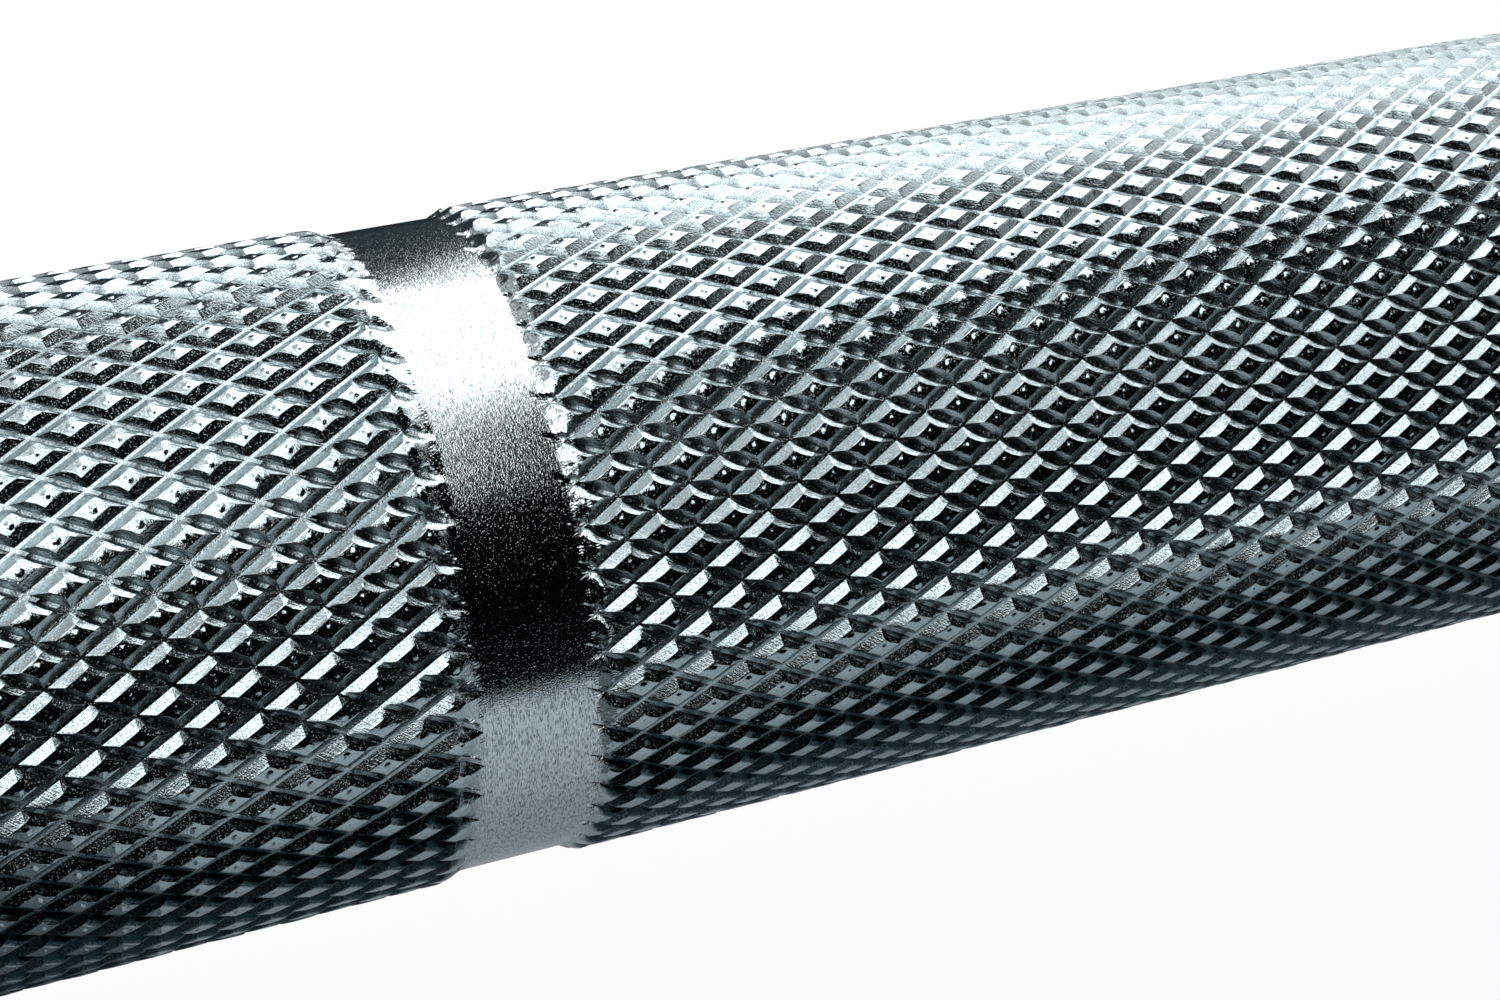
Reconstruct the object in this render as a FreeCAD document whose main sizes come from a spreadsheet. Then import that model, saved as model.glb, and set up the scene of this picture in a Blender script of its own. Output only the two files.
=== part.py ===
import FreeCAD, Part, Sketcher
import os
from FreeCAD import Placement, Rotation, Vector

# Olympic barbell: a knurled steel shaft whose two sleeves turn on needle bearings.
# Millimetres. X runs along the bar, Z is up, and the origin is the middle of the shaft's axis.
# A sleeve's pieces are drawn outward from the collar's inner face, then placed at either end of the shaft.

DIMENSIONS = {
    # shaft
    "grip_length": 1310,          # between the two collars
    "shaft_dia": 28,
    "knurl_height": 0.36,         # crests above the bare shaft
    "centre_knurl_length": 120,
    "side_knurl_start": 210,      # from the middle of the shaft
    "knurl_end_gap": 15,          # bare shaft beside the collar
    "mark_spacing": 910,          # between the two ring marks
    "mark_width": 5.3,
    "shoulder_step": 1.5,         # shaft down to journal, in radius
    "shaft_end_chamfer": 1.5,
    # sleeve and collar
    "sleeve_dia": 50,
    "loading_length": 415,
    "sleeve_end_chamfer": 2,
    "collar_dia": 78,
    "collar_width": 30,
    "collar_edge_radius": 3,
    "collar_bore_chamfer": 0.5,
    "collar_seat_step": 0.5,      # sleeve up to the collar's press seat, in radius
    "flange_step": 1.5,           # press seat up to the flange that stops the collar, in radius
    "flange_width": 4,
    "web_width": 6,               # inner lip of the sleeve, between seal and bearings
    "web_clearance": 0.5,
    # dust seal
    "seal_section": 5,
    "seal_width": 6,
    "seal_lip_height": 1.5,
    "seal_lip_width": 2,
    "seal_lip_clearance": 0.1,
    # needle bearings
    "needle_count": 18,
    "needle_dia": 2.46,
    "needle_length": 15.6,
    "running_clearance": 0.02,
    "pocket_clearance": 0.05,
    "cage_thickness": 1,
    "cage_end_clearance": 0.3,
    "cup_wall": 1,
    "cup_length": 20,
    "cup_lip_clearance": 0.6,
    "spacer_wall": 1.2,
    # thrust washers
    "washer_thickness": 2,
    "washer_bore_clearance": 0.15,
    "washer_rim_clearance": 0.3,
    "axial_clearance": 0.3,
    # snap rings
    "ring_play": 0.1,             # groove wider than its ring
    "shaft_ring_thickness": 1.2,
    "shaft_ring_width": 2.2,
    "shaft_groove_depth": 0.6,
    "shaft_ring_land": 3,         # groove to the shaft's end
    "shaft_ring_gap": 4,
    "shaft_lug_dia": 2.8,
    "shaft_lug_hole_dia": 1.4,
    "cap_ring_thickness": 1.75,
    "cap_ring_width": 3.2,
    "cap_groove_depth": 1.2,
    "cap_ring_gap": 9,
    "cap_lug_dia": 4.4,
    "cap_lug_hole_dia": 2,
    # end cap
    "cap_wall": 4,                # sleeve left around the cap
    "cap_fit": 0.05,
    "cap_thickness": 5,
    "cap_inset": 1.5,             # ring below the sleeve's end
    "cap_gap": 5,                 # shaft's end to cap
    "cap_rim_width": 6,
    "cap_dish_depth": 0.8,
}

HALF_TURN = 180
FULL_TURN = 360
SIDE_TURNS = {"left": HALF_TURN, "right": 0}
PAIR_COUNT = 2

# a sketch counts a curve's points up from its edge, and its own axes down from zero
POINT_ORDER = ("edge", "start", "end", "centre")
AXIS_ORDER = ("none", "horizontal", "vertical")
START = POINT_ORDER.index("start")
END = POINT_ORDER.index("end")
CENTRE = POINT_ORDER.index("centre")
HORIZONTAL = -AXIS_ORDER.index("horizontal")
VERTICAL = -AXIS_ORDER.index("vertical")
ORIGIN_POINT = (HORIZONTAL, START)

# radii, as expressions of the sheet
SHAFT_R = "(Dims.shaft_dia / 2)"
CREST_R = f"({SHAFT_R} + Dims.knurl_height)"
JOURNAL_R = f"({SHAFT_R} - Dims.shoulder_step)"
SHAFT_GROOVE_R = f"({JOURNAL_R} - Dims.shaft_groove_depth)"
PITCH_R = f"({JOURNAL_R} + Dims.running_clearance + Dims.needle_dia / 2)"
RACE_R = f"({PITCH_R} + Dims.needle_dia / 2 + Dims.running_clearance)"
BORE_R = f"({RACE_R} + Dims.cup_wall)"
SEAL_R = f"({SHAFT_R} + Dims.seal_section)"
SLEEVE_R = "(Dims.sleeve_dia / 2)"
SEAT_R = f"({SLEEVE_R} + Dims.collar_seat_step)"
FLANGE_R = f"({SEAT_R} + Dims.flange_step)"
COLLAR_R = "(Dims.collar_dia / 2)"
CAP_POCKET_R = f"({SLEEVE_R} - Dims.cap_wall)"
CAP_GROOVE_R = f"({CAP_POCKET_R} + Dims.cap_groove_depth)"

# places along a sleeve, outward from the collar's inner face
SLEEVE_END = "(Dims.collar_width + Dims.loading_length)"
WEB_FACE = "(Dims.seal_width + Dims.web_width)"
SHOULDER = f"({WEB_FACE} + Dims.axial_clearance)"
FIRST_CUP = f"({SHOULDER} + Dims.washer_thickness + Dims.axial_clearance)"
CAP_FACE = f"({SLEEVE_END} - Dims.cap_inset - Dims.ring_play - Dims.cap_ring_thickness)"
CAP_SEAT = f"({CAP_FACE} - Dims.cap_thickness)"
SHAFT_END = f"({CAP_SEAT} - Dims.cap_gap)"
SHAFT_GROOVE_END = f"({SHAFT_END} - Dims.shaft_ring_land)"
SHAFT_GROOVE = f"({SHAFT_GROOVE_END} - Dims.ring_play - Dims.shaft_ring_thickness)"
OUTER_WASHER = f"({SHAFT_GROOVE} - Dims.washer_thickness)"
LAST_CUP_END = f"({OUTER_WASHER} - Dims.axial_clearance)"


def add_sheet():
    sheet = doc.addObject("Spreadsheet::Sheet", "Dims")
    for row, (alias, value) in enumerate(DIMENSIONS.items(), start=1):
        sheet.set(f"A{row}", alias)
        sheet.set(f"B{row}", str(value))
        sheet.setAlias(f"B{row}", alias)
    doc.recompute()


def new_body(label):
    body = doc.addObject("PartDesign::Body", label)
    body.Label = label
    bodies.append(body)
    return body


def place(body, side):
    turn = SIDE_TURNS[side]
    body.Placement = Placement(Vector(0, 0, 0), Rotation(Vector(0, 0, 1), turn))
    body.setExpression("Placement.Base.x", f"cos({turn}) * Dims.grip_length / 2")


def origin_part(body, role):
    return next(part for part in body.Origin.OriginFeatures if part.Role == role)


def add_sketch(body, plane, offset="0"):
    sketch = body.newObject("Sketcher::SketchObject", "Sketch")
    sketch.AttachmentSupport = [(origin_part(body, plane), "")]
    sketch.MapMode = "FlatFace"
    sketch.setExpression("AttachmentOffset.Base.z", offset)
    return sketch


def bind(sketch, kind, where, expression):
    size = sketch.evalExpression(expression)
    index = sketch.addConstraint(Sketcher.Constraint(kind, *where, size))
    sketch.setExpression(f"Constraints[{index}]", expression)


def bind_point(sketch, curve, point, across, up):
    """Tie one point to the sketch's origin; a distance below zero is measured the other way round."""
    for kind, expression, axis in (("DistanceX", across, VERTICAL), ("DistanceY", up, HORIZONTAL)):
        size = sketch.evalExpression(expression)
        if size > 0:
            bind(sketch, kind, (*ORIGIN_POINT, curve, point), expression)
        elif size < 0:
            bind(sketch, kind, (curve, point, *ORIGIN_POINT), f"-({expression})")
        else:
            sketch.addConstraint(Sketcher.Constraint("PointOnObject", curve, point, axis))


def add_polygon(sketch, corners):
    first = sketch.GeometryCount
    count = len(corners)
    spots = [Vector(sketch.evalExpression(across), sketch.evalExpression(up), 0) for across, up in corners]
    for index in range(count):
        sketch.addGeometry(Part.LineSegment(spots[index], spots[(index + 1) % count]), False)
    for index, (across, up) in enumerate(corners):
        following = first + (index + 1) % count
        sketch.addConstraint(Sketcher.Constraint("Coincident", first + index, END, following, START))
        bind_point(sketch, first + index, START, across, up)


def add_circle(sketch, across, up, radius):
    centre = Vector(sketch.evalExpression(across), sketch.evalExpression(up), 0)
    curve = sketch.addGeometry(Part.Circle(centre, Vector(0, 0, 1), sketch.evalExpression(radius)), False)
    bind_point(sketch, curve, CENTRE, across, up)
    bind(sketch, "Radius", (curve,), radius)


def turn_outline(body, corners):
    """Revolve a closed outline of (place along the bar, radius) corners about the bar's axis."""
    sketch = add_sketch(body, "XY_Plane")
    add_polygon(sketch, corners)
    turned = body.newObject("PartDesign::Revolution", "Turned")
    turned.Profile = sketch
    turned.ReferenceAxis = (sketch, ["H_Axis"])
    turned.Angle = FULL_TURN


def turned_ring(side, name, start, end, inner, outer):
    body = new_body(f"{side}_{name}")
    turn_outline(body, [(start, inner), (start, outer), (end, outer), (end, inner)])
    place(body, side)
    return body


def pad(body, sketch, length):
    feature = body.newObject("PartDesign::Pad", "Pad")
    feature.Profile = sketch
    feature.setExpression("Length", length)
    return feature


def pocket_outward(body, sketch, length):
    feature = body.newObject("PartDesign::Pocket", "Pocket")
    feature.Profile = sketch
    feature.Reversed = True
    feature.setExpression("Length", length)
    return feature


def repeat_round(body, feature, count):
    doc.recompute()
    pattern = body.newObject("PartDesign::PolarPattern", "Round")
    pattern.Originals = [feature]
    pattern.Axis = (origin_part(body, "X_Axis"), [""])
    pattern.Angle = FULL_TURN
    pattern.setExpression("Occurrences", count)
    body.Tip = pattern


def build_shaft():
    half_grip = "Dims.grip_length / 2"
    rise = "Dims.knurl_height"
    centre_end = "(Dims.centre_knurl_length / 2)"
    mark_start = "(Dims.mark_spacing / 2 - Dims.mark_width / 2)"
    mark_end = "(Dims.mark_spacing / 2 + Dims.mark_width / 2)"
    knurl_end = f"({half_grip} - Dims.knurl_end_gap)"
    shoulder = f"({half_grip} + {SHOULDER})"
    groove = f"({half_grip} + {SHAFT_GROOVE})"
    groove_end = f"({half_grip} + {SHAFT_GROOVE_END})"
    end = f"({half_grip} + {SHAFT_END})"
    right_half = [
        (f"{centre_end} - {rise}", CREST_R),
        (centre_end, SHAFT_R),
        ("Dims.side_knurl_start", SHAFT_R),
        (f"Dims.side_knurl_start + {rise}", CREST_R),
        (f"{mark_start} - {rise}", CREST_R),
        (mark_start, SHAFT_R),
        (mark_end, SHAFT_R),
        (f"{mark_end} + {rise}", CREST_R),
        (f"{knurl_end} - {rise}", CREST_R),
        (knurl_end, SHAFT_R),
        (shoulder, SHAFT_R),
        (shoulder, JOURNAL_R),
        (groove, JOURNAL_R),
        (groove, SHAFT_GROOVE_R),
        (groove_end, SHAFT_GROOVE_R),
        (groove_end, JOURNAL_R),
        (f"{end} - Dims.shaft_end_chamfer", JOURNAL_R),
        (end, f"{JOURNAL_R} - Dims.shaft_end_chamfer"),
        (end, "0"),
    ]
    left_half = [(f"-({along})", radius) for along, radius in reversed(right_half)]
    turn_outline(new_body("shaft"), left_half + right_half)


def build_sleeve(side):
    body = new_body(f"{side}_sleeve")
    chamfer = "Dims.sleeve_end_chamfer"
    web_r = f"{SHAFT_R} + Dims.web_clearance"
    groove_end = f"{SLEEVE_END} - Dims.cap_inset"
    turn_outline(body, [
        ("0", FLANGE_R),
        ("Dims.flange_width", FLANGE_R),
        ("Dims.flange_width", SEAT_R),
        ("Dims.collar_width", SEAT_R),
        ("Dims.collar_width", SLEEVE_R),
        (f"{SLEEVE_END} - {chamfer}", SLEEVE_R),
        (SLEEVE_END, f"{SLEEVE_R} - {chamfer}"),
        (SLEEVE_END, CAP_POCKET_R),
        (groove_end, CAP_POCKET_R),
        (groove_end, CAP_GROOVE_R),
        (CAP_FACE, CAP_GROOVE_R),
        (CAP_FACE, CAP_POCKET_R),
        (CAP_SEAT, CAP_POCKET_R),
        (CAP_SEAT, BORE_R),
        (WEB_FACE, BORE_R),
        (WEB_FACE, web_r),
        ("Dims.seal_width", web_r),
        ("Dims.seal_width", SEAL_R),
        ("0", SEAL_R),
    ])
    place(body, side)


def build_collar(side):
    body = new_body(f"{side}_collar")
    chamfer = "Dims.collar_bore_chamfer"
    turn_outline(body, [
        ("0", FLANGE_R),
        ("0", COLLAR_R),
        ("Dims.collar_width", COLLAR_R),
        ("Dims.collar_width", f"{SEAT_R} + {chamfer}"),
        (f"Dims.collar_width - {chamfer}", SEAT_R),
        ("Dims.flange_width", SEAT_R),
        ("Dims.flange_width", FLANGE_R),
    ])
    place(body, side)
    doc.recompute()
    turned = body.Tip
    rim_r = turned.evalExpression(COLLAR_R)
    rims = []
    for index, edge in enumerate(turned.Shape.Edges, start=1):
        round_edge = isinstance(edge.Curve, Part.Circle)
        if round_edge and abs(edge.Curve.Radius - rim_r) < Part.Precision.confusion():
            rims.append(f"Edge{index}")
    rounded = body.newObject("PartDesign::Fillet", "Rounded")
    rounded.Base = (turned, rims)
    rounded.setExpression("Radius", "Dims.collar_edge_radius")


def build_dust_seal(side):
    body = new_body(f"{side}_dust_seal")
    lip_r = f"({SHAFT_R} + Dims.seal_lip_clearance)"
    inner_r = f"({lip_r} + Dims.seal_lip_height)"
    middle = "Dims.seal_width / 2"
    half_lip = "Dims.seal_lip_width / 2"
    turn_outline(body, [
        ("0", inner_r),
        ("0", SEAL_R),
        ("Dims.seal_width", SEAL_R),
        ("Dims.seal_width", inner_r),
        (f"{middle} + {half_lip}", inner_r),
        (middle, lip_r),
        (f"{middle} - {half_lip}", inner_r),
    ])
    place(body, side)


def build_thrust_washers(side):
    inner_r = f"{JOURNAL_R} + Dims.washer_bore_clearance"
    outer_r = f"{BORE_R} - Dims.washer_rim_clearance"
    for name, start in (("inner_thrust_washer", SHOULDER), ("outer_thrust_washer", OUTER_WASHER)):
        turned_ring(side, name, start, f"{start} + Dims.washer_thickness", inner_r, outer_r)


def build_bearing_cup(side, number, start):
    body = new_body(f"{side}_bearing_cup_{number}")
    end = f"({start} + Dims.cup_length)"
    lip_r = f"{JOURNAL_R} + Dims.cup_lip_clearance"
    turn_outline(body, [
        (start, lip_r),
        (start, BORE_R),
        (end, BORE_R),
        (end, lip_r),
        (f"{end} - Dims.cup_wall", lip_r),
        (f"{end} - Dims.cup_wall", RACE_R),
        (f"{start} + Dims.cup_wall", RACE_R),
        (f"{start} + Dims.cup_wall", lip_r),
    ])
    place(body, side)


def build_bearing_cage(side, number, start):
    end_gap = "(Dims.cup_wall + Dims.cage_end_clearance)"
    body = turned_ring(
        side,
        f"bearing_cage_{number}",
        f"{start} + {end_gap}",
        f"{start} + Dims.cup_length - {end_gap}",
        f"{PITCH_R} - Dims.cage_thickness / 2",
        f"{PITCH_R} + Dims.cage_thickness / 2",
    )
    middle = f"{start} + Dims.cup_length / 2"
    half_length = "(Dims.needle_length / 2 + Dims.pocket_clearance)"
    half_width = "(Dims.needle_dia / 2 + Dims.pocket_clearance)"
    sketch = add_sketch(body, "XY_Plane")
    add_polygon(sketch, [
        (f"{middle} - {half_length}", f"-{half_width}"),
        (f"{middle} + {half_length}", f"-{half_width}"),
        (f"{middle} + {half_length}", half_width),
        (f"{middle} - {half_length}", half_width),
    ])
    repeat_round(body, pocket_outward(body, sketch, BORE_R), "Dims.needle_count")


def build_bearing_needles(side, number, start):
    body = new_body(f"{side}_bearing_needles_{number}")
    sketch = add_sketch(body, "YZ_Plane", f"{start} + Dims.cup_length / 2 - Dims.needle_length / 2")
    add_circle(sketch, "0", PITCH_R, "Dims.needle_dia / 2")
    repeat_round(body, pad(body, sketch, "Dims.needle_length"), "Dims.needle_count")
    place(body, side)


def build_bearings(side):
    inner_pair_end = f"({FIRST_CUP} + {PAIR_COUNT} * Dims.cup_length)"
    outer_pair = f"({LAST_CUP_END} - {PAIR_COUNT} * Dims.cup_length)"
    for pair, first_start in enumerate((FIRST_CUP, outer_pair)):
        for step in range(PAIR_COUNT):
            number = pair * PAIR_COUNT + step + 1
            start = f"({first_start} + {step} * Dims.cup_length)"
            build_bearing_cup(side, number, start)
            build_bearing_cage(side, number, start)
            build_bearing_needles(side, number, start)
    turned_ring(side, "bearing_spacer", inner_pair_end, outer_pair, f"{BORE_R} - Dims.spacer_wall", BORE_R)


def build_snap_ring(side, name, start, inner_r, outer_r, lug_circle_r, sizes):
    """A flat open ring with a lug and a plier hole on either side of its gap."""
    body = new_body(f"{side}_{name}")
    thickness = f"Dims.{sizes}_ring_thickness"
    half_gap = f"Dims.{sizes}_ring_gap / 2"
    lug_r = f"Dims.{sizes}_lug_dia / 2"
    lug_across = f"({half_gap} + {lug_r})"
    lug_up = f"sqrt({lug_circle_r} ^ 2 - {lug_across} ^ 2)"
    ring = add_sketch(body, "YZ_Plane", start)
    add_circle(ring, "0", "0", inner_r)
    add_circle(ring, "0", "0", outer_r)
    pad(body, ring, thickness)
    lugs = add_sketch(body, "YZ_Plane", start)
    add_circle(lugs, f"-{lug_across}", lug_up, lug_r)
    add_circle(lugs, lug_across, lug_up, lug_r)
    pad(body, lugs, thickness)
    opening = add_sketch(body, "YZ_Plane", start)
    top = f"{outer_r} + Dims.{sizes}_lug_dia"
    add_polygon(opening, [
        (f"-{half_gap}", "0"),
        (half_gap, "0"),
        (half_gap, top),
        (f"-{half_gap}", top),
    ])
    add_circle(opening, f"-{lug_across}", lug_up, f"Dims.{sizes}_lug_hole_dia / 2")
    add_circle(opening, lug_across, lug_up, f"Dims.{sizes}_lug_hole_dia / 2")
    pocket_outward(body, opening, thickness)
    place(body, side)


def build_snap_rings(side):
    shaft_ring_r = f"({SHAFT_GROOVE_R} + Dims.shaft_ring_width)"
    build_snap_ring(side, "shaft_snap_ring", SHAFT_GROOVE, SHAFT_GROOVE_R, shaft_ring_r,
                    shaft_ring_r, "shaft")
    cap_ring_r = f"({CAP_GROOVE_R} - Dims.cap_ring_width)"
    build_snap_ring(side, "end_cap_snap_ring", CAP_FACE, cap_ring_r, CAP_GROOVE_R, cap_ring_r, "cap")


def build_end_cap(side):
    body = new_body(f"{side}_end_cap")
    cap_r = f"({CAP_POCKET_R} - Dims.cap_fit)"
    dish_r = f"({cap_r} - Dims.cap_rim_width)"
    dish = "Dims.cap_dish_depth"
    turn_outline(body, [
        (CAP_SEAT, "0"),
        (CAP_SEAT, cap_r),
        (CAP_FACE, cap_r),
        (CAP_FACE, dish_r),
        (f"{CAP_FACE} - {dish}", f"{dish_r} - {dish}"),
        (f"{CAP_FACE} - {dish}", "0"),
    ])
    place(body, side)


def check_document():
    for item in doc.Objects:
        if "Invalid" in item.State or "Error" in item.State:
            raise RuntimeError(f"{item.Label} did not recompute")
    for body in bodies:
        if body.Shape.isNull() or not body.Shape.isValid():
            raise RuntimeError(f"{body.Label} has no valid shape")


os.makedirs("parts", exist_ok=True)
doc = FreeCAD.newDocument("Barbell")
bodies = []
add_sheet()
build_shaft()
for side_name in SIDE_TURNS:
    build_sleeve(side_name)
    build_collar(side_name)
    build_dust_seal(side_name)
    build_thrust_washers(side_name)
    build_bearings(side_name)
    build_snap_rings(side_name)
    build_end_cap(side_name)
doc.recompute()
check_document()
for piece in bodies:
    piece.Shape.exportStep(f"parts/{piece.Label}.step")
    print(f"{piece.Label}: {len(piece.Shape.Solids)} solid(s), {piece.Shape.Volume:.0f} mm3")
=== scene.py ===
import bpy
import math
import numpy as np
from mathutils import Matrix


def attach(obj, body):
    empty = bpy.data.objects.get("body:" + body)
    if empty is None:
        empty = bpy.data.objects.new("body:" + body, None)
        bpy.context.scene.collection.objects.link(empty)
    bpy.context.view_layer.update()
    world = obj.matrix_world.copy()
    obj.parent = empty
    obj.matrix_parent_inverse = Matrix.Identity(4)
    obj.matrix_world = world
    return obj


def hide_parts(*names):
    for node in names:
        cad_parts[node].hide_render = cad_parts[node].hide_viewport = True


# Olympic barbell. X runs along the bar and Z is up. Pieces and finishes are in millimetres,
# the flags, lights and camera in metres, as the meshes are.

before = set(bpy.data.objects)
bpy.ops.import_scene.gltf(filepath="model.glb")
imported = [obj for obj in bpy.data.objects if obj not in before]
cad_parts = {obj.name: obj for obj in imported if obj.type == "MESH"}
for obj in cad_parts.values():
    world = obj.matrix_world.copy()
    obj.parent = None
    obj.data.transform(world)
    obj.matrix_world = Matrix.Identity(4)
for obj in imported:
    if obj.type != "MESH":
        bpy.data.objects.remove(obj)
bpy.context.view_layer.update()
mm = 0.001
sides = {"left": -1, "right": 1}
sleeveStart = 655.0      # a sleeve's inner face, from the middle of the bar


def linearFromHex(code):
    # sRGB hex to linear: each channel over 255, then the sRGB curve undone
    channels = np.array([int(code[start:start + 2], 16) for start in (1, 3, 5)]) / 255
    linear = np.where(channels <= 0.04045, channels / 12.92, ((channels + 0.055) / 1.055) ** 2.4)
    return (*linear.tolist(), 1.0)


def addNode(tree, kind, inputs=None, **settings):
    node = tree.nodes.new(kind)
    for key, value in settings.items():
        setattr(node, key, value)
    for key, value in (inputs or {}).items():
        if isinstance(value, bpy.types.NodeSocket):
            tree.links.new(value, node.inputs[key])
        else:
            node.inputs[key].default_value = value
    return node


def startFinish(name, shaderInputs):
    finish = bpy.data.materials.new(name)
    finish.use_nodes = True
    tree = finish.node_tree
    tree.nodes.clear()
    shader = addNode(tree, "ShaderNodeBsdfPrincipled", shaderInputs)
    addNode(tree, "ShaderNodeOutputMaterial", {"Surface": shader.outputs["BSDF"]})
    place = addNode(tree, "ShaderNodeTexCoord").outputs["Object"]
    return finish, tree, shader, place


knurledChromeLook = dict(
    markPlate="#DDE5E8", plate="#C6D5D9",   # the turned ring mark shines more than the rolled knurl
    grimeAndShade="#22363B",                        # oily dirt that the knurl holds, also the colour of the painted shade on the groove walls under the axis
    roughness=0.04, knurlRoughness=0.06, wallRoughness=0.14, dimpleRoughness=0.05,
    patchSize=0.6, patchRoughness=0.05,     # cloudy patches in the plate
    # the second of these shares is painted shade, the groove walls darker under the axis; the others are dirt
    grimeOnTops=0.2, paintedShadeBelow=0.75, grimeInLeaves=0.42, grimeInLines=0.7,
    speckEdges=(0.38, 0.62), speckDirt=(1.6, 0.4), streakEdges=(0.36, 0.54),
    paintedShadeDepth=5,                             # painted shade on the groove walls starts at the axis and is full this far below
    # blast grain left under the plate, drawn coarser than real so it shows
    gritSize=0.075, gritHeight=0.009, gritOnMark=0.75, gritOnTops=0.45, gritInDimple=0.5,
    # turned grain on the ring mark, drawn coarser than real so it shows
    lineSize=0.042, lineLength=0.22, lineHeight=0.0034,
    # sparse pits that sparkle where the metal mirrors black
    pitSize=0.06, pitDepth=0.0104, pitEdges=(0.67, 0.8), pitsOnTops=0.4,
    strokeSize=0.06, strokesAlong=1.6, strokeHeight=0.008,   # die drag along the groove walls
    dimpleWide=0.21, dimpleDepth=0.037, dimpleRag=0.08, dimpleWobble=0.22,
    cellAlong=1.5175, cellAround=0.885, cellSide=1.53,   # a cell's steps along the bar and round it, its side
    # where walls and leaves begin, as shares of a cell from its middle
    wallEdges=(0.19, 0.26), leafEdges=(0.3, 0.42), leafEnds=(0.32, 0.44),
)


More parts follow.
